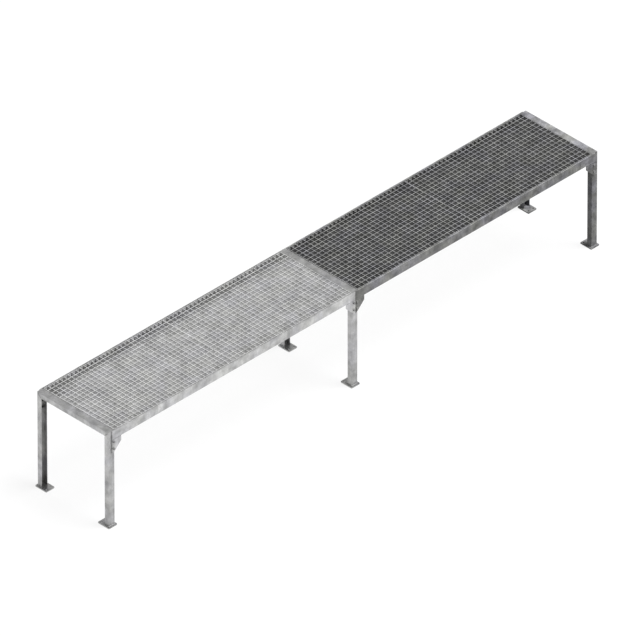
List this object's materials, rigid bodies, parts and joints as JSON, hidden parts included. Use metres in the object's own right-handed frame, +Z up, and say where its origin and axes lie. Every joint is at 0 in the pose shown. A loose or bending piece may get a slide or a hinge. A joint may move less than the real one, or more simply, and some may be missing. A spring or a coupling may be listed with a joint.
{
  "type": "work platform bench",
  "caption": "Low steel work platform: bolted U-channel portal frames on foot plates, side rails with corner gussets, and lift-out grating panels forming a flush deck.",
  "frame": {"origin": "on the floor, under the middle of the bench, level with the undersides of the foot plates", "axes": "+X along the bench from the base module to the extension module, +Y across it to the back, +Z up"},
  "size_m": [4.17, 0.6338, 0.695],
  "materials": {
    "base_frame_zinc": "hot-dip galvanised, fresh: pale grey with a soft spangle",
    "extension_frame_zinc": "hot-dip galvanised, weathered: dull mid grey, mottled",
    "base_grating_zinc": "hot-dip galvanised grating, fresh: pale grey",
    "extension_grating_zinc": "hot-dip galvanised grating, weathered: dull mid grey",
    "fastener_zinc": "electro-galvanised steel fasteners, satin"
  },
  "bodies": {
    "frame": {"top_beam_base_end": "base_frame_zinc", "leg_base_end_front": "base_frame_zinc", "foot_plate_base_end_front": "base_frame_zinc", "leg_base_end_back": "base_frame_zinc", "foot_plate_base_end_back": "base_frame_zinc", "top_beam_middle": "base_frame_zinc", "leg_middle_front": "base_frame_zinc", "foot_plate_middle_front": "base_frame_zinc", "leg_middle_back": "base_frame_zinc", "foot_plate_middle_back": "base_frame_zinc", "top_beam_extension_end": "extension_frame_zinc", "leg_extension_end_front": "extension_frame_zinc", "foot_plate_extension_end_front": "extension_frame_zinc", "leg_extension_end_back": "extension_frame_zinc", "foot_plate_extension_end_back": "extension_frame_zinc", "side_rail_base_front": "base_frame_zinc", "rail_stiffener_base_front": "base_frame_zinc", "grating_ledge_base_front": "base_frame_zinc", "gusset_base_end_front": "base_frame_zinc", "gusset_base_middle_front": "base_frame_zinc", "side_rail_base_back": "base_frame_zinc", "rail_stiffener_base_back": "base_frame_zinc", "grating_ledge_base_back": "base_frame_zinc", "gusset_base_end_back": "base_frame_zinc", "gusset_base_middle_back": "base_frame_zinc", "side_rail_extension_front": "extension_frame_zinc", "rail_stiffener_extension_front": "extension_frame_zinc", "grating_ledge_extension_front": "extension_frame_zinc", "gusset_extension_middle_front": "extension_frame_zinc", "gusset_extension_end_front": "extension_frame_zinc", "side_rail_extension_back": "extension_frame_zinc", "rail_stiffener_extension_back": "extension_frame_zinc", "grating_ledge_extension_back": "extension_frame_zinc", "gusset_extension_middle_back": "extension_frame_zinc", "gusset_extension_end_back": "extension_frame_zinc", "bolts_base_end": "fastener_zinc", "washers_base_end": "fastener_zinc", "nuts_base_end": "fastener_zinc", "bolts_middle": "fastener_zinc", "washers_middle": "fastener_zinc", "nuts_middle": "fastener_zinc", "bolts_extension_end": "fastener_zinc", "washers_extension_end": "fastener_zinc", "nuts_extension_end": "fastener_zinc"},
    "grating_base_left": {"grating_border_base_left": "base_grating_zinc", "grating_lattice_base_left": "base_grating_zinc"},
    "grating_base_right": {"grating_border_base_right": "base_grating_zinc", "grating_lattice_base_right": "base_grating_zinc"},
    "grating_extension_left": {"grating_border_extension_left": "extension_grating_zinc", "grating_lattice_extension_left": "extension_grating_zinc"},
    "grating_extension_right": {"grating_border_extension_right": "extension_grating_zinc", "grating_lattice_extension_right": "extension_grating_zinc"}
  },
  "joints": [
    {"name": "lift_grating_base_left", "type": "slide", "parent": "frame", "child": "grating_base_left", "axis": [0, 0, 1], "range_m": [0, 0.08]},
    {"name": "lift_grating_base_right", "type": "slide", "parent": "frame", "child": "grating_base_right", "axis": [0, 0, 1], "range_m": [0, 0.08]},
    {"name": "lift_grating_extension_left", "type": "slide", "parent": "frame", "child": "grating_extension_left", "axis": [0, 0, 1], "range_m": [0, 0.08]},
    {"name": "lift_grating_extension_right", "type": "slide", "parent": "frame", "child": "grating_extension_right", "axis": [0, 0, 1], "range_m": [0, 0.08]}
  ]
}
